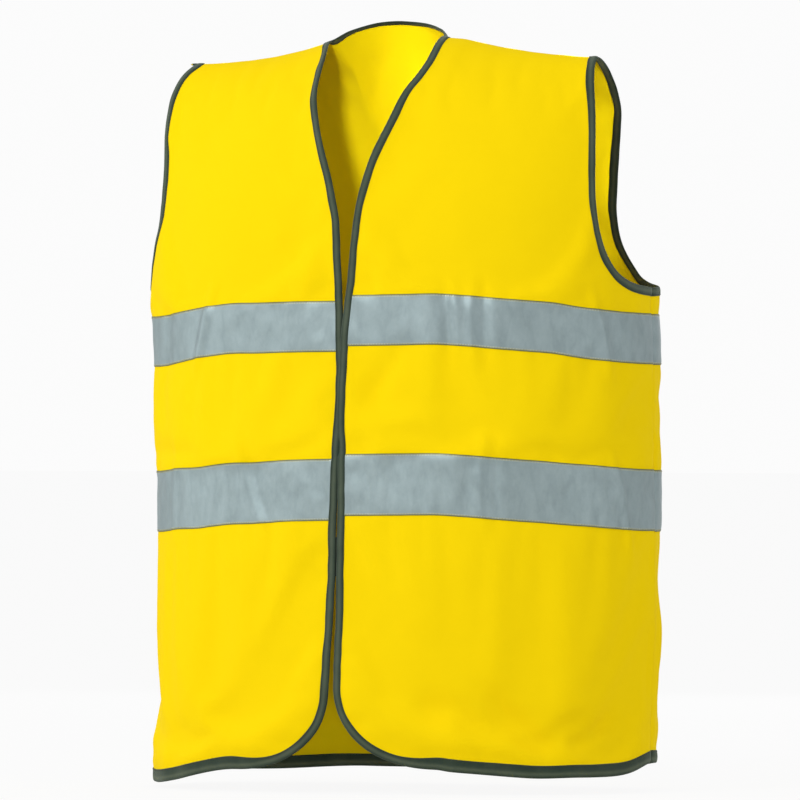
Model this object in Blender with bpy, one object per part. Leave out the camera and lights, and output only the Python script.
"""High visibility vest: two swinging fronts and a back of knitted polyester, bound edges,
two reflective bands, hook and loop closures.

All sizes are millimetres, turned into metres as each mesh is made. The vest faces -Y, its left
side (the wearer's) is +X, and it stands on z = 0.

The cloth is drawn in a pattern plane: "along" runs round the section from the middle of the
front or back, + to the wearer's left, and "height" is the height before the cloth droops.
"side" is 1 for the wearer's left and -1 for the right. Fronts are drawn for the left, with
positive "along", and mirrored for the right.
"""

import math

import bmesh
import bpy
import numpy as np
from mathutils import Matrix, Vector

SIDES = ((1, "left"), (-1, "right"))

# ---------------------------------------------------------------- driving sizes
UNDERARM_H = 485.0  # pattern height of the underarm line
YOKE_H = 235.0  # pattern height from the underarm line to the shoulder ridge
RAISE, FORWARD = 8.0, 13.0  # brings the lowest hem point to z = 0, the middle of the depth to y = 0

CLOTH, BAND_T, PATCH_T = 0.6, 0.3, 0.5  # thicknesses
BAND_CLEAR = 0.3  # between the cloth and a band
GAP = 0.35  # half the clearance along a fold and across a split
EDGE_BINDING, ARM_BINDING, HEM_BINDING = 8.0, 9.0, 12.0

LOWER_BAND = (252.0, 312.0)
UPPER_BAND = (414.5, 464.0)
BANDS = (("upper", UPPER_BAND), ("lower", LOWER_BAND))


def yoke(part):
    """Pattern height of this part of the way from the underarm line to the ridge."""
    return UNDERARM_H + YOKE_H * part


# Grid rows: three steps below the first middle row, then the middle rows, then the upper rows.
LOW_ROWS = 3
LOW_TOP = 96.0
ROWS_MID = [LOW_TOP, 172.0, *LOWER_BAND, 363.0, *UPPER_BAND]
SPLIT_H = 650.0  # the swinging front ends here on the neck edge
TOP_H = yoke(0.9985)
ROWS_UP = [
    UPPER_BAND[1], *(yoke(part) for part in (0.0, 0.10, 0.2, 0.3, 0.4, 0.5, 0.6)),
    SPLIT_H, *(yoke(part) for part in (0.78, 0.86, 0.93)), TOP_H,
]
ARM_STEPS = len(ROWS_UP) - 2  # the armhole starts one row above the band
FLAP_COLS, SIDE_COLS, BACK_COLS = 5, 6, 14


# ---------------------------------------------------------------- curves
def pchip(xs, ys):
    """A monotone cubic through the points, flat beyond its ends."""
    xs, ys = np.asarray(xs, float), np.asarray(ys, float)
    steps = np.diff(xs)
    slopes = np.diff(ys) / steps
    tangents = np.zeros_like(ys)
    for i in range(1, len(xs) - 1):
        if slopes[i - 1] * slopes[i] > 0:
            before = 2 * steps[i] + steps[i - 1]
            after = steps[i] + 2 * steps[i - 1]
            tangents[i] = (before + after) / (before / slopes[i - 1] + after / slopes[i])
    tangents[0], tangents[-1] = slopes[0], slopes[-1]

    def curve(x):
        x = np.clip(np.asarray(x, float), xs[0], xs[-1])
        i = np.clip(np.searchsorted(xs, x, side="right") - 1, 0, len(xs) - 2)
        t = (x - xs[i]) / steps[i]
        return (
            (2 * t**3 - 3 * t**2 + 1) * ys[i]
            + (t**3 - 2 * t**2 + t) * steps[i] * tangents[i]
            + (3 * t**2 - 2 * t**3) * ys[i + 1]
            + (t**3 - t**2) * steps[i] * tangents[i + 1]
        )

    return curve


def smooth(start, end, x):
    ramp = np.clip((x - start) / (end - start), 0, 1)
    return ramp * ramp * (3 - 2 * ramp)


def unit(vectors):
    return vectors / np.linalg.norm(vectors, axis=-1, keepdims=True)


# ---------------------------------------------------------------- the form of the hanging cloth
WIDEST_Y = 45.0  # where the side seams hang, front to back
UNDERARM_W = 475.0  # height at which the width stops changing
HALF_WIDTH = pchip(
    [0, 75, 150, 240, 320, 407, UNDERARM_W], [260, 260, 260, 260, 260.5, 262, 264]
)
DEPTH = {
    "front": pchip([0, 80, 240, 440, 475], [178, 177, 173, 167, 166]),
    "back": pchip([0, 240, 475], [114, 114, 110]),
}
FACING = {"front": -1, "back": 1}  # direction in y
TYPICAL_HALF_WIDTH = 260  # used to measure lengths round the section

NECK_X, TIP_X = 62.0, 212.0  # neck edge and outer end of the shoulder ridge
NECK_Z, TIP_Z, SHOULDER_SAG = 722.0, 700.0, 22.0
NECK_Y = -13  # the ridge runs from here at the neck edge to y = 0 at the tip
BACK_NECK_RISE, BACK_NECK_RISE_POWER = 17.0, 2.6
BACK_NECK_DEPTH, BACK_NECK_DEPTH_POWER = 64.0, 2.2
# Powers of the curve by which the yoke leans from the underarm to the ridge
FRONT_LEAN, FRONT_LEAN_END = 2.3, 0.7
BACK_LEAN, BACK_LEAN_END, BACK_LEAN_EASE = 2.4, 0.95, 0.394
BACK_LEAN_SPAN = (35, 110)  # |x| over which the back's end power eases

# How the cloth hangs: lift in the middle, droop at the side, |x| where the droop starts
FRONT_LIFT = {1: (4, 12, 110), -1: (0, 17, 110)}
BACK_LIFT = (-8, 9, 100)  # only the wearer's right droops
DROOP_END = 235  # |x| of the full droop


def section_table(depth, squareness):
    """Length round the section from its middle, with its width and depth fractions."""
    angle = np.linspace(0, math.pi / 2, 4001)
    wide = np.sin(angle) ** (2 / squareness)
    deep = np.cos(angle) ** (2 / squareness)
    steps = np.hypot(np.diff(TYPICAL_HALF_WIDTH * wide), np.diff(depth * deep))
    return np.concatenate([[0], np.cumsum(steps)]), wide, deep


SECTION = {
    "front": section_table(depth=172.0, squareness=2.4),
    "back": section_table(depth=114.0, squareness=2.2),
}
LENGTH = {face: table[0][-1] for face, table in SECTION.items()}
SEAM = {face: LENGTH[face] - 0.3 for face in LENGTH}  # where the cloth ends at the side seam


def lift(face, x, side):
    """How far the cloth hangs above its pattern height; the wearer's right droops more."""
    if face == "back":
        side = -1
    middle, droop, start = FRONT_LIFT[side] if face == "front" else BACK_LIFT
    return middle - droop * smooth(start, DROOP_END, x * side)


def surface(face, along, height):
    """Points of the cloth's middle. All front points of one call hang as one side does."""
    along, height = np.broadcast_arrays(np.asarray(along, float), np.asarray(height, float))
    lengths, wide, deep = SECTION[face]
    low = np.minimum(height, UNDERARM_H)
    x = HALF_WIDTH(low) * np.sign(along) * np.interp(np.abs(along), lengths, wide)
    y = WIDEST_Y + FACING[face] * DEPTH[face](low) * np.interp(np.abs(along), lengths, deep)
    z = low + lift(face, x, 1 if along.sum() >= 0 else -1)

    rise = np.clip((height - UNDERARM_H) / YOKE_H, 0, 1)
    out = (np.abs(x) - NECK_X) / (TIP_X - NECK_X)
    ridge_y = NECK_Y - NECK_Y * np.clip(out, 0, 1)
    ridge_z = NECK_Z - (NECK_Z - TIP_Z) * out - SHOULDER_SAG * out * (1 - out)
    if face == "front":
        lean = (1 - rise**FRONT_LEAN) ** FRONT_LEAN_END
    else:
        across = np.clip(np.abs(x) / NECK_X, 0, 1)
        in_neck = np.abs(x) < NECK_X
        neck_y = NECK_Y + BACK_NECK_DEPTH * (1 - across**BACK_NECK_DEPTH_POWER)
        neck_z = NECK_Z + BACK_NECK_RISE * (1 - across**BACK_NECK_RISE_POWER)
        ridge_y = np.where(in_neck, neck_y, ridge_y)
        ridge_z = np.where(in_neck, neck_z, ridge_z)
        power = BACK_LEAN_END - BACK_LEAN_EASE * smooth(*BACK_LEAN_SPAN, np.abs(x))
        lean = (1 - rise**BACK_LEAN) ** power
    y = ridge_y + (y - ridge_y) * lean
    return np.stack([x, y - FORWARD, z + rise * (ridge_z - z) + RAISE], -1)


def normals(face, along, height):
    """Outward unit normals, from differences; heights stop just short of the ridge."""
    reach = 0.5
    height = np.minimum(height, yoke(1) - 0.3 - reach)
    d_along = surface(face, along + reach, height) - surface(face, along - reach, height)
    d_height = surface(face, along, height + reach) - surface(face, along, height - reach)
    return -FACING[face] * unit(np.cross(d_along, d_height))


def on_cloth(face, grid):
    """Points and normals of pattern-plane points."""
    return surface(face, grid[..., 0], grid[..., 1]), normals(face, grid[..., 0], grid[..., 1])


def to_along(face, x, height):
    """Position along the section of a point at this x."""
    lengths, wide, _ = SECTION[face]
    return float(np.sign(x) * np.interp(np.abs(x) / HALF_WIDTH(height), wide, lengths))


# ---------------------------------------------------------------- outlines
# Free edge of each front above its rounded corner, as height and x. The two differ a little.
EDGE_POINTS = {
    1: [
        (90, 0), (190, 0), (285, 1.2), (382, 3.6), (460, 4.5), (500, 9),
        (545, 15), (600, 28), (630, 38), (660, 46), (700, 61), (720, 60),
    ],
    -1: [
        (90, 6), (190, 2), (285, 0), (382, -2.4), (460, -3), (525, 0),
        (560, 8.5), (625, 33), (665, 46), (700, 51), (720, 60),
    ],
}
CORNER_TOP, CORNER_SQUARE = 90.0, 2.2  # height where the corner starts to round, its squareness
CORNER_END = {1: (108.0, 7.0), -1: (110.0, 8.5)}  # x and height at which it meets the hem
CORNER_DRAWN_FROM, CORNER_POINTS = 60.0, 7  # the corner is drawn from this height down
CORNER_SPLIT_H = 31  # the flap's hem columns end and its edge rows start nearest this height
CORNER_EDGE_H = 77  # one more edge point between the corner and the first middle row

# Armhole edges from the underarm to the shoulder tip, as x and height above the underarm line
FRONT_ARM = {
    1: [
        (264, 0), (254, 12), (242, 50), (237, 94),
        (235.5, 146), (232, 181), (224, 212), (217.5, 235),
    ],
    -1: [
        (264, 0), (251, 19), (236, 50), (226.5, 82), (226.5, 120),
        (230, 170), (230, 196), (225, 217), (213, 235),
    ],
}
BACK_ARM = [
    (264, 0), (220, 9), (203, 25), (190, 46), (187, 75),
    (191, 110), (207, 165), (216, 190), (218.5, 214), (217.5, 235),
]
ARM_MAX_X = 263.9  # keeps the armhole's start within the section
# Back neck from the wearer's right to left: x, then the inward direction (along, height)
BACK_NECK = np.array([
    (-60.5, -1, 0), (-58.5, -0.8, -0.6), (-51, -0.35, -0.94), (-38, -0.1, -1), (-20, 0, -1),
    (0, 0, -1),
    (20, 0, -1), (38, 0.1, -1), (51, 0.35, -0.94), (58.5, 0.8, -0.6), (60.5, 1, 0),
])

FOLD_TOP, FOLD_FOOT = (56.0, 676.0), (203.0, 8.0)  # x and height of the line a front folds along
FOLD_HEM_H = 9.0  # height used to place the fold's foot on the hem
SHOULDER_JOIN_X = 103.0  # x at the shoulder where the neck block meets the side block

# Pattern height of the hem away from the seams and at the seams, and how fast the rise fades
HEM_H = {("front", 1): 7.0, ("front", -1): 8.5, ("back", 1): 10.5, ("back", -1): 10.5}
HEM_SEAM_H = {1: 24.5, -1: 20.0}
HEM_FADE = 42.0

# Each nominal binding width is widened by this to give the inner line of the edge strip
INNER_EXTRA = 1.0


def front_edge(side):
    """x of a front's free edge at a height: a rounded corner, and a smooth curve above it."""
    above = pchip(*zip(*EDGE_POINTS[side]))
    edge, (hem_x, hem_h) = EDGE_POINTS[side][0][1], CORNER_END[side]

    def edge_x(height):
        down = np.clip((CORNER_TOP - height) / (CORNER_TOP - hem_h), 0, 1)
        corner = hem_x - (hem_x - edge) * (1 - down**CORNER_SQUARE) ** (1 / CORNER_SQUARE)
        return np.where(height < CORNER_TOP, corner, above(height))

    return edge_x


def front_corner(side):
    """Points of the rounded corner, as x and height, down to the hem, evenly turned."""
    edge, (hem_x, hem_h) = EDGE_POINTS[side][0][1], CORNER_END[side]
    down = (CORNER_TOP - CORNER_DRAWN_FROM) / (CORNER_TOP - hem_h)
    first = math.asin(down ** (CORNER_SQUARE / 2))
    power = 2 / CORNER_SQUARE
    return [
        (
            hem_x - (hem_x - edge) * abs(math.cos(turn)) ** power,
            CORNER_TOP - (CORNER_TOP - hem_h) * math.sin(turn) ** power,
        )
        for turn in np.linspace(first, math.pi / 2, CORNER_POINTS)
    ]


def fold_x(height):
    (top_x, top_h), (foot_x, foot_h) = FOLD_TOP, FOLD_FOOT
    return top_x + (top_h - height) * (foot_x - top_x) / (top_h - foot_h)


def hem_line(face, stations, side_of):
    """The hem's points at these positions; it rises at the side seams."""
    points = []
    for along in stations:
        side = side_of(along)
        base = HEM_H[face, side]
        rise = HEM_SEAM_H[side] - base
        from_seam = LENGTH[face] - abs(along)
        points.append((along, base + rise * np.exp(-from_seam / HEM_FADE)))
    return np.array(points)


def evenly(points, count):
    """Evenly spaced points, count steps, along a polyline."""
    points = np.asarray(points, float)
    steps = np.linalg.norm(np.diff(points, axis=0), axis=1)
    reached = np.concatenate([[0], np.cumsum(steps)])
    stops = np.linspace(0, reached[-1], count + 1)
    return np.stack([np.interp(stops, reached, points[:, i]) for i in range(2)], -1)


def column(along, heights):
    return np.stack([np.full(len(heights), along), heights], -1)


def level(stations, height):
    return np.stack([stations, np.full(len(stations), height)], -1)


def coons(bottom, top, left, right):
    """Grid [row, column] in the pattern plane between four edges."""
    u = np.linspace(0, 1, len(bottom))[None, :, None]
    v = np.linspace(0, 1, len(left))[:, None, None]
    corners = (
        (1 - u) * (1 - v) * bottom[0] + u * (1 - v) * bottom[-1]
        + (1 - u) * v * top[0] + u * v * top[-1]
    )
    rows = (1 - v) * bottom[None] + v * top[None]
    return rows + (1 - u) * left[:, None] + u * right[:, None] - corners


def ruled(left, right, cols):
    """Grid of straight rows between two edges."""
    return np.stack([np.linspace(start, end, cols + 1) for start, end in zip(left, right)])


def inset(face, edge, width, inward):
    """The points that lie width mm inside the edge points, measured on the cloth."""
    start = surface(face, edge[:, 0], edge[:, 1])
    near, far = np.zeros(len(edge)), np.full(len(edge), 60.0)
    for _ in range(30):
        middle = (near + far) / 2
        points = edge + inward * middle[:, None]
        distance = np.linalg.norm(surface(face, points[:, 0], points[:, 1]) - start, axis=1)
        beyond = distance > width
        far, near = np.where(beyond, middle, far), np.where(beyond, near, middle)
    return edge + inward * far[:, None]


def inward_of(edge, turn, first, last):
    """Unit inward directions of an edge; turn is +1 when the cloth is on its left."""
    ahead = unit(np.gradient(edge, axis=0))
    inward = np.stack([-ahead[:, 1], ahead[:, 0]], -1) * turn
    inward[0], inward[-1] = first, last
    return inward


def armhole(face, points):
    """The armhole's edge and the inner line of its strip, from the seam up."""
    stations = np.arange(len(points))
    fine = np.linspace(0, stations[-1], 6 * stations[-1] + 1)
    x, up = (pchip(stations, [point[i] for point in points])(fine) for i in (0, 1))
    curve = np.array([
        (to_along(face, min(across, ARM_MAX_X), UNDERARM_W), UNDERARM_H + above)
        for across, above in zip(x, up)
    ])
    curve[0, 0], curve[-1, 1] = SEAM[face], TOP_H
    outer = evenly(curve, ARM_STEPS)
    width = np.full(len(outer), ARM_BINDING + INNER_EXTRA)
    inner = inset(face, outer, width, inward_of(outer, 1, first=(0, -1), last=(-1, 0)))
    inner[0, 0], inner[-1, 1] = SEAM[face], TOP_H
    return outer, inner


# ---------------------------------------------------------------- pattern of a front
# Stations of a front's outline, which runs from the side seam along the hem, round the corner,
# up the front edge and the neck
FOLD_AT = SIDE_COLS
CORNER_AT = FOLD_AT + FLAP_COLS
MID_AT = CORNER_AT + LOW_ROWS
UP_AT = MID_AT + len(ROWS_MID) - 1
SPLIT_ROW = ROWS_UP.index(SPLIT_H)
SPLIT_AT = UP_AT + SPLIT_ROW


def front_outline(side):
    """The outer edge of a front and the inner line of its edge strip."""
    edge_x = front_edge(side)

    def edge_points(heights):
        return [(to_along("front", edge_x(height), height), height) for height in heights]

    def hem(start, end, count):
        return hem_line("front", np.linspace(start, end, count), lambda _: side)

    corner = np.array([(to_along("front", x, z), z) for x, z in front_corner(side)])[::-1]
    fold_along = to_along("front", fold_x(FOLD_HEM_H), FOLD_HEM_H)
    side_hem = hem(SEAM["front"], fold_along, SIDE_COLS + 1)
    flap_hem = hem(fold_along, corner[0, 0] + 4, 3)
    path = np.concatenate([flap_hem, corner])
    turn = len(flap_hem) + int(np.argmin(np.abs(corner[:, 1] - CORNER_SPLIT_H)))
    to_corner = evenly(path[: turn + 1], FLAP_COLS)
    corner_up = np.concatenate([path[turn:], edge_points([CORNER_EDGE_H, LOW_TOP])])
    outer = np.concatenate([
        side_hem, to_corner[1:], evenly(corner_up, LOW_ROWS)[1:],
        edge_points(ROWS_MID[1:] + ROWS_UP[1:]),
    ])

    # the strip narrows from the hem's width to the edge's on its way to the corner
    width = np.full(len(outer), EDGE_BINDING + INNER_EXTRA)
    width[: FOLD_AT + 3] = HEM_BINDING + INNER_EXTRA
    width[FOLD_AT + 3] = 11.5
    width[FOLD_AT + 4] = 10.0
    inner = inset("front", outer, width, inward_of(outer, -1, first=(0, 1), last=(1, 0)))
    inner[0, 0] = SEAM["front"]
    # rows stay level up to the underarm line
    for i, height in enumerate(ROWS_MID[1:] + ROWS_UP[1:2], start=MID_AT + 1):
        inner[i, 1] = height
    inner[-1, 1] = TOP_H
    return outer, inner


def fold_line(heights):
    return np.array([(to_along("front", fold_x(height), height), height) for height in heights])


def upper_fold_line():
    """The fold up to the split, then the line between the neck and side blocks."""
    fold = fold_line(ROWS_UP[: SPLIT_ROW + 1])
    above = []
    for height in ROWS_UP[SPLIT_ROW + 1 :]:
        part = (height - SPLIT_H) / (TOP_H - SPLIT_H)
        shoulder = to_along("front", SHOULDER_JOIN_X, height)
        above.append((fold[-1, 0] * (1 - part) + shoulder * part, height))
    return np.concatenate([fold, above])


def front_pattern(side):
    """Grids and edge lines of one front, placed on its side."""
    seam = SEAM["front"]
    outer, inner = front_outline(side)
    outer_arm, inner_arm = armhole("front", FRONT_ARM[side])

    side_bottom = inner[: FOLD_AT + 1][::-1]
    flap_bottom = inner[FOLD_AT : CORNER_AT + 1][::-1]
    edge_low = inner[CORNER_AT : MID_AT + 1]
    edge_mid = inner[MID_AT : UP_AT + 1]
    edge_up = inner[UP_AT:]
    fold_low = fold_line(np.linspace(flap_bottom[-1, 1], LOW_TOP, LOW_ROWS + 1))
    fold_low[0] = flap_bottom[-1]
    fold_mid = fold_line(ROWS_MID)
    fold_up = upper_fold_line()
    seam_low = column(seam, np.linspace(side_bottom[-1, 1], LOW_TOP, LOW_ROWS + 1))
    seam_mid = column(seam, ROWS_MID)
    seam_up = np.concatenate([[seam_mid[-1]], inner_arm])

    flap_top = np.linspace(edge_mid[0], fold_mid[0], FLAP_COLS + 1)
    flap_low = coons(flap_bottom, flap_top, edge_low, fold_low)
    flap_mid = ruled(edge_mid, fold_mid, FLAP_COLS)
    flap_up = ruled(edge_up[: SPLIT_ROW + 1], fold_up[: SPLIT_ROW + 1], FLAP_COLS)
    neck_up = ruled(edge_up[SPLIT_ROW:], fold_up[SPLIT_ROW:], FLAP_COLS)
    side_top = np.linspace(fold_mid[0], seam_mid[0], SIDE_COLS + 1)
    side_low = coons(side_bottom, side_top, fold_low, seam_low)
    side_mid = ruled(fold_mid, seam_mid, SIDE_COLS)
    shoulder = np.linspace(fold_up[-1], seam_up[-1], SIDE_COLS + 1)
    side_up = coons(side_mid[-1], shoulder, fold_up, seam_up)

    # a hair of clearance along the fold and across the split
    for grid in (flap_low, flap_mid, flap_up):
        grid[:, -1, 0] -= GAP
    for grid in (side_low, side_mid, side_up[:SPLIT_ROW]):
        grid[:, 0, 0] += GAP
    flap_up[-1, :, 1] -= GAP
    neck_up[0, :, 1] += GAP
    side_up[SPLIT_ROW, 0, 1] += GAP
    neck_up[:, -1] = side_up[SPLIT_ROW:, 0]

    place = np.array([side, 1.0])
    return {
        "flap": [grid * place for grid in (flap_low, flap_mid, flap_up)],
        "side": [grid * place for grid in (side_low, side_mid, side_up, neck_up)],
        "outline": (outer * place, inner * place),
        "arm": (outer_arm * place, inner_arm * place),
    }


# ---------------------------------------------------------------- pattern of the back
def back_pattern():
    """Grids of the back and the outer and inner lines of its edges; the armhole is the left."""
    seam = SEAM["back"]
    cols = np.linspace(-seam, seam, BACK_COLS + 1)
    hem = hem_line("back", cols, lambda along: 1 if along > 0 else -1)
    hem_width = np.full(len(hem), HEM_BINDING + INNER_EXTRA)
    inner_hem = inset("back", hem, hem_width, np.tile([0.0, 1.0], (len(hem), 1)))
    low = coons(
        inner_hem,
        level(cols, LOW_TOP),
        column(-seam, np.linspace(inner_hem[0, 1], LOW_TOP, LOW_ROWS + 1)),
        column(seam, np.linspace(inner_hem[-1, 1], LOW_TOP, LOW_ROWS + 1)),
    )
    mid = np.stack([level(cols, height) for height in ROWS_MID])

    outer_arm, inner_arm = armhole("back", BACK_ARM)
    left_edge = np.concatenate([[mid[-1, -1]], inner_arm])

    neck = np.array([(to_along("back", x, UNDERARM_W), TOP_H) for x in BACK_NECK[:, 0]])
    neck_width = np.full(len(neck), EDGE_BINDING + INNER_EXTRA)
    inner_neck = inset("back", neck, neck_width, BACK_NECK[:, 1:])
    inner_neck[0, 1] = inner_neck[-1, 1] = TOP_H

    # the neck's inner points and two steps along each shoulder make the top's columns
    shoulder = np.linspace(inner_neck[-1], inner_arm[-1], 3)
    top = np.concatenate([(shoulder * [-1, 1])[::-1], inner_neck[1:-1], shoulder])
    return {
        "low": low,
        "mid": mid,
        "up": coons(mid[-1], top, left_edge * [-1, 1], left_edge),
        "hem": (hem, inner_hem),
        "arm": (outer_arm, inner_arm),
        "neck": (neck, inner_neck),
    }


# ---------------------------------------------------------------- objects
YELLOW = (0.95, 0.76, 0.01)
NEAR_BLACK = (0.05, 0.06, 0.04)
KNIT = {"colour": YELLOW, "roughness": 0.85}
SEAM_FINISH = {"colour": YELLOW, "roughness": 0.9}
REFLECTIVE = {"colour": (0.42, 0.47, 0.48), "roughness": 0.45}
TAPE = {"colour": (0.055, 0.075, 0.05), "roughness": 0.8}
LOOP = {"colour": NEAR_BLACK, "roughness": 0.95}
HOOK = {"colour": NEAR_BLACK, "roughness": 0.9}
LABEL = {"colour": (0.85, 0.85, 0.83), "roughness": 0.7}

for old in list(bpy.data.objects):
    bpy.data.objects.remove(old, do_unlink=True)
collection = bpy.data.collections.new("high_visibility_vest")
bpy.context.scene.collection.children.link(collection)


def material(name, colour, roughness):
    finish = bpy.data.materials.new(name)
    finish.use_nodes = True
    shader = finish.node_tree.nodes["Principled BSDF"]
    shader.inputs["Base Color"].default_value = (*colour, 1.0)
    shader.inputs["Roughness"].default_value = roughness
    shader.inputs["Metallic"].default_value = 0.0
    return finish


def add_mesh(name, mesh, finish):
    obj = bpy.data.objects.new(name, mesh)
    collection.objects.link(obj)
    mesh.materials.append(material(name, **finish))
    return obj


def add(name, verts, faces, finish):
    mesh = bpy.data.meshes.new(name)
    mesh.from_pydata([tuple(vert / 1000.0) for vert in verts], [], faces)
    mesh.update()
    return add_mesh(name, mesh, finish)


def piece(face, grid, flip):
    """Points and normals of a grid, and whether its triangles turn over, for a sheet."""
    return *on_cloth(face, grid), flip


def sheet(name, pieces, offset, thickness, finish):
    """One closed sheet, offset outward from the cloth's middle, from pieces sewn together
    where their points coincide."""
    points, directions, faces, index = [], [], [], {}

    def vertex(point, normal):
        key = tuple(np.round(point, 3))
        if key not in index:
            index[key] = len(points)
            points.append(point)
            directions.append(normal)
        return index[key]

    for grid, grid_n, flip in pieces:
        rows, cols = grid.shape[:2]
        ids = [[vertex(grid[i, j], grid_n[i, j]) for j in range(cols)] for i in range(rows)]
        for i in range(rows - 1):
            for j in range(cols - 1):
                a, b, c, d = ids[i][j], ids[i][j + 1], ids[i + 1][j + 1], ids[i + 1][j]
                for triangle in ((a, b, c), (a, c, d)):
                    if len(set(triangle)) == 3:
                        faces.append(triangle[::-1] if flip else triangle)

    count = len(points)
    points, directions = np.array(points), np.array(directions)
    verts = np.concatenate([
        points + directions * (offset + thickness / 2),
        points + directions * (offset - thickness / 2),
    ])
    edges = dict.fromkeys(edge for a, b, c in faces for edge in ((a, b), (b, c), (c, a)))
    closed = faces + [tuple(i + count for i in face[::-1]) for face in faces]
    for a, b in edges:
        if (b, a) not in edges:
            closed += [(b, a, a + count), (b, a + count, b + count)]
    return add(name, verts, closed, finish)


def loft(name, rings, finish, turned=()):
    """A closed body through rings [station, point]; turned lists the sides whose quads split
    along the other diagonal."""
    count, size = rings.shape[:2]
    faces = []
    for i in range(count - 1):
        for j in range(size):
            a, b = i * size + j, i * size + (j + 1) % size
            c, d = b + size, a + size
            faces += [(a, b, d), (b, c, d)] if j in turned else [(a, b, c), (a, c, d)]
    faces.append(tuple(range(size))[::-1])
    faces.append(tuple((count - 1) * size + j for j in range(size)))
    obj = add(name, rings.reshape(-1, 3), faces, finish)
    bm = bmesh.new()
    bm.from_mesh(obj.data)
    bmesh.ops.recalc_face_normals(bm, faces=bm.faces)
    bm.to_mesh(obj.data)
    bm.free()
    return obj


def towards(start, start_n, end, end_n, distance):
    """Points this far from one line of the cloth towards the next, with their normals."""
    part = (distance / np.linalg.norm(end - start, axis=1))[:, None]
    return start * (1 - part) + end * part, unit(start_n * (1 - part) + end_n * part)


TAPE_IN, TAPE_OUT = 0.6, 1.1  # faces of the folded tape, from the cloth's middle
TAPE_SHORT = 0.7  # the tape's sewn side stops this far short of the inner line
STRIP_START = 1.2  # the cloth under the tape starts this far inside the fold


def binding(name, face, outer, inner):
    """Tape folded over an edge: outer is the fold, inner lies beyond the tape's sewn side."""
    lines = (*on_cloth(face, outer), *on_cloth(face, inner))
    sewn = np.linalg.norm(lines[2] - lines[0], axis=1) - TAPE_SHORT
    # the tape's section: distance from the fold, offset from the cloth's middle
    profile = (
        (sewn, TAPE_IN), (sewn, TAPE_OUT), (0.9, TAPE_OUT), (0.0, TAPE_IN), (0.0, -TAPE_IN),
        (0.9, -TAPE_OUT), (sewn, -TAPE_OUT), (sewn, -TAPE_IN), (0.8, -TAPE_IN), (0.8, TAPE_IN),
    )
    rings = []
    for distance, offset in profile:
        points, directions = towards(*lines, distance)
        rings.append(points + directions * offset)
    loft(name, np.stack(rings, axis=1), TAPE, turned=(1, 7))


def edge_strip(face, outer, inner, flip):
    """The strip of cloth inside a binding, as a piece of a sheet."""
    inner_p, inner_n = on_cloth(face, inner)
    start, start_n = towards(*on_cloth(face, outer), inner_p, inner_n, STRIP_START)
    return np.stack([start, inner_p]), np.stack([start_n, inner_n]), flip


def add_band(name, face, grid, band, flip):
    """A reflective band on the outside of the cloth, over the grid rows it spans."""
    rows = grid[ROWS_MID.index(band[0]) : ROWS_MID.index(band[1]) + 1]
    offset = CLOTH / 2 + BAND_CLEAR + BAND_T / 2
    sheet(name, [piece(face, rows, flip)], offset, BAND_T, REFLECTIVE)


# ---------------------------------------------------------------- the two fronts
def edge_stretch(outline, span, ends):
    """Part of a front's outline; ends maps an end to its outer shift and its inner point."""
    outer, inner = (points[span].copy() for points in outline)
    for end, (shift, inner_point) in ends.items():
        outer[end] += shift
        inner[end] = inner_point
    return outer, inner


def build_front(side, name, pattern):
    """A front: the flap that swings and the part between its fold and the side seam."""
    flip = side < 0
    flap_low, flap_mid, flap_up = pattern["flap"]
    side_low, side_mid, _, neck_up = pattern["side"]
    outline = pattern["outline"]
    side_hem = edge_stretch(
        outline, slice(0, FOLD_AT + 1), {-1: ((side * GAP, 0), side_low[0, 0])}
    )
    flap_edge = edge_stretch(
        outline, slice(FOLD_AT, SPLIT_AT + 1),
        {0: ((-side * GAP, 0), flap_low[0, -1]), -1: ((0, -GAP), flap_up[-1, 0])},
    )
    neck = edge_stretch(outline, slice(SPLIT_AT, None), {0: ((0, GAP), neck_up[0, 0])})

    flap_pieces = [piece("front", grid, flip) for grid in pattern["flap"]]
    flap_pieces.append(edge_strip("front", *flap_edge, not flip))
    side_pieces = [piece("front", grid, flip) for grid in pattern["side"]]
    side_pieces.append(edge_strip("front", *side_hem, not flip))
    side_pieces.append(edge_strip("front", *neck, not flip))
    side_pieces.append(edge_strip("front", *pattern["arm"], flip))
    sheet(f"{name}_front_panel", flap_pieces, 0.0, CLOTH, KNIT)
    sheet(f"{name}_side_front_panel", side_pieces, 0.0, CLOTH, KNIT)

    binding(f"{name}_front_binding", "front", *flap_edge)
    binding(f"{name}_side_hem_binding", "front", *side_hem)
    binding(f"{name}_neck_binding", "front", *neck)
    binding(f"{name}_front_armhole_binding", "front", *pattern["arm"])
    for level_name, band in BANDS:
        add_band(f"{name}_front_{level_name}_band", "front", flap_mid, band, flip)
        add_band(f"{name}_side_front_{level_name}_band", "front", side_mid, band, flip)


# ---------------------------------------------------------------- the back
def build_back(pattern):
    arms = {side: [points * [side, 1] for points in pattern["arm"]] for side, _ in SIDES}
    pieces = [piece("back", pattern[block], True) for block in ("low", "mid", "up")]
    pieces.append(edge_strip("back", *pattern["hem"], True))
    pieces.append(edge_strip("back", *arms[1], True))
    pieces.append(edge_strip("back", *arms[-1], False))
    pieces.append(edge_strip("back", *pattern["neck"], False))
    sheet("back_panel", pieces, 0.0, CLOTH, KNIT)

    binding("back_hem_binding", "back", *pattern["hem"])
    binding("back_neck_binding", "back", *pattern["neck"])
    for side, name in SIDES:
        binding(f"{name}_back_armhole_binding", "back", *arms[side])
    for level_name, band in BANDS:
        add_band(f"back_{level_name}_band", "back", pattern["mid"], band, True)


# ---------------------------------------------------------------- seams
SEAM_HALF = 5.0  # reach of a seam strip on each side of the join
SEAM_NEAR, SEAM_FAR = -0.85, -1.45  # its two faces, from the cloth's middle


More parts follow.
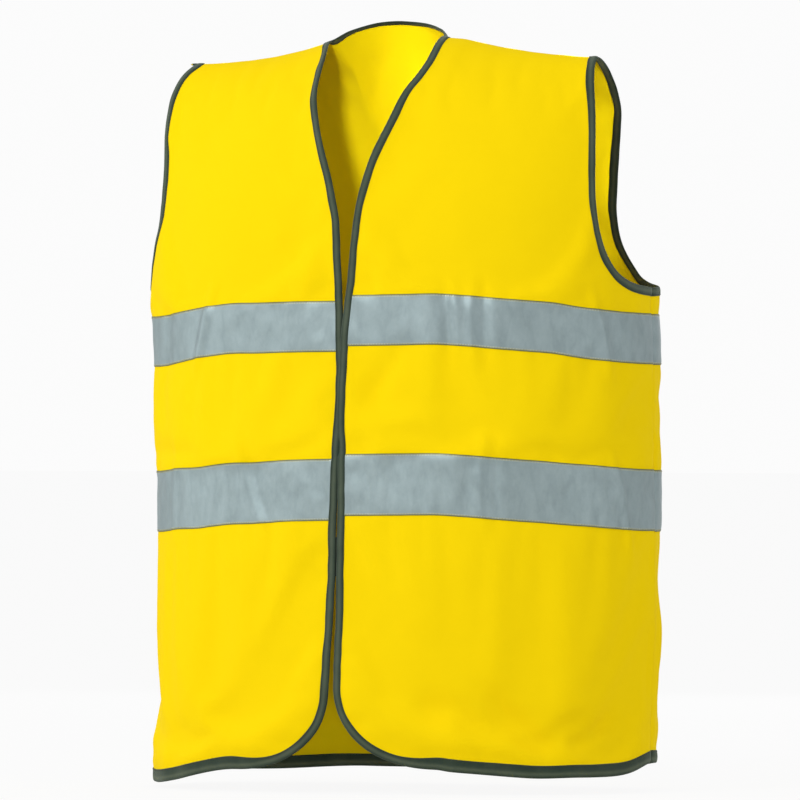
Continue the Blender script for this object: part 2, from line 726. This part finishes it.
def sewn_line(face, edge, neighbour):
    """An edge with its normals, and the line a seam strip reaches, with its normals."""
    points, directions = on_cloth(face, edge)
    reach = towards(points, directions, *on_cloth(face, neighbour), SEAM_HALF)
    return points, directions, *reach


def seam_strip(name, lines):
    """A strip inside the cloth under three lines (points, normals): front, join and back."""
    near = [points + directions * SEAM_NEAR for points, directions in lines]
    far = [points + directions * SEAM_FAR for points, directions in lines[::-1]]
    loft(name, np.stack(near + far, axis=1), SEAM_FINISH)


def side_seam(side, name, front, back):
    front_low, front_mid = front["side"][:2]
    front_grid = np.concatenate([front_low[:-1], front_mid])
    back_grid = np.concatenate([back["low"][:-1], back["mid"]])[:, ::side]
    edge_f, edge_fn, *reach_f = sewn_line("front", front_grid[:, -1], front_grid[:, -2])
    edge_b, edge_bn, *reach_b = sewn_line("back", back_grid[:, -1], back_grid[:, -2])
    join = ((edge_f + edge_b) / 2, unit(edge_fn + edge_bn))
    seam_strip(f"{name}_side_seam", [reach_f, join, reach_b])


def shoulder_seam(side, name, front, back):
    _, _, side_up, neck_up = front["side"]
    front_top = np.concatenate([neck_up[-2:, :-1], side_up[-2:]], axis=1)
    back_top = back["up"][-2:, ::side][:, -3:]
    edge_f, _, *reach_f = sewn_line("front", front_top[1], front_top[0])
    edge_b, _, reach_b, reach_bn = sewn_line("back", back_top[1], back_top[0])
    order = np.argsort(np.abs(edge_b[:, 0]))
    across = np.abs(edge_f[:, 0])

    def at_front(values):
        """Values of the back's edge, read at the front's stations."""
        known = np.abs(edge_b[order, 0])
        return np.stack([np.interp(across, known, values[order, i]) for i in range(3)], -1)

    upward = np.tile([0.0, 0.0, 1.0], (len(across), 1))
    join = ((edge_f + at_front(edge_b)) / 2, upward)
    reach_back = (at_front(reach_b), unit(at_front(reach_bn)))
    seam_strip(f"{name}_shoulder_seam", [reach_f, join, reach_back])


# ---------------------------------------------------------------- closures and label
CLOSURES = (("upper", (360.0, 402.0)), ("lower", (196.0, 238.0)))  # heights of the loop patches
LOOP_SPAN = (15.0, 35.0)  # along the front
LOOP_CLEAR = 0.4
HOOK_SPAN = (-20.0, 34.0)
HOOK_INSET = 2  # a hook tab is this much lower at its top and higher at its foot
HOOK_OFFSET, HOOK_T = -1.9, 0.6

LABEL_LONG, LABEL_HIGH, LABEL_THICK = 38.0, 50.0, 0.4
LABEL_AT = (255.5, 33.5, 150.0)
LABEL_DIRECTION = (-12.5, 38.0)  # x and y of the way it points from its origin


def closure_patch(name, span, cols, heights, offset, thickness, finish):
    grid = np.stack(np.meshgrid(np.linspace(*span, cols), heights), -1)
    sheet(name, [piece("front", grid, False)], offset, thickness, finish)


def build_closure(name, low, high):
    """A loop patch and a hook tab, both inside the cloth."""
    closure_patch(
        f"{name}_loop_patch", LOOP_SPAN, 3, (low, high),
        offset=-(CLOTH / 2 + LOOP_CLEAR + PATCH_T / 2), thickness=PATCH_T, finish=LOOP,
    )
    closure_patch(
        f"{name}_hook_tab", HOOK_SPAN, 4, (low + HOOK_INSET, high - HOOK_INSET),
        offset=HOOK_OFFSET, thickness=HOOK_T, finish=HOOK,
    )


def build_label():
    """A thin upright box with its origin in the middle of one end."""
    size = Vector((LABEL_LONG, LABEL_THICK, LABEL_HIGH)) / 1000
    bm = bmesh.new()
    bmesh.ops.create_cube(bm, size=1.0)
    bmesh.ops.scale(bm, vec=size, verts=bm.verts)
    bmesh.ops.translate(bm, vec=(size.x / 2, 0, 0), verts=bm.verts)
    mesh = bpy.data.meshes.new("care_label")
    bm.to_mesh(mesh)
    bm.free()
    label = add_mesh("care_label", mesh, LABEL)
    turn = math.atan2(LABEL_DIRECTION[1], LABEL_DIRECTION[0])
    place = Matrix.Translation(Vector(LABEL_AT) / 1000)
    label.matrix_world = place @ Matrix.Rotation(turn, 4, "Z")


# ---------------------------------------------------------------- hinges
# A front's hinge axis stands near the foot of its fold.
HINGE = {1: (202.8, -129.5, 9.6), -1: (-202.8, -129.5, 2.7)}
SWINGING = ("front_panel", "front_binding", "front_upper_band", "front_lower_band")
SWINGING_CLOSURE = {1: "loop_patch", -1: "hook_tab"}


def build_hinge(side, name):
    """An empty on the hinge axis, carrying what swings with this front."""
    pivot = bpy.data.objects.new(f"{name}_front_hinge", None)
    collection.objects.link(pivot)
    pivot.location = Vector(HINGE[side]) / 1000
    pivot.empty_display_size = 0.05
    carried = [f"{name}_{part}" for part in SWINGING]
    carried += [f"{closure}_{SWINGING_CLOSURE[side]}" for closure, _ in CLOSURES]
    for part in carried:
        obj = bpy.data.objects[part]
        obj.parent = pivot
        obj.matrix_parent_inverse = Matrix.Translation(-pivot.location)


# ---------------------------------------------------------------- the vest
back_parts = back_pattern()
build_back(back_parts)
for closure_name, closure_heights in CLOSURES:
    build_closure(closure_name, *closure_heights)
build_label()
for side, side_name in SIDES:
    front_parts = front_pattern(side)
    build_front(side, side_name, front_parts)
    side_seam(side, side_name, front_parts, back_parts)
    shoulder_seam(side, side_name, front_parts, back_parts)
    build_hinge(side, side_name)
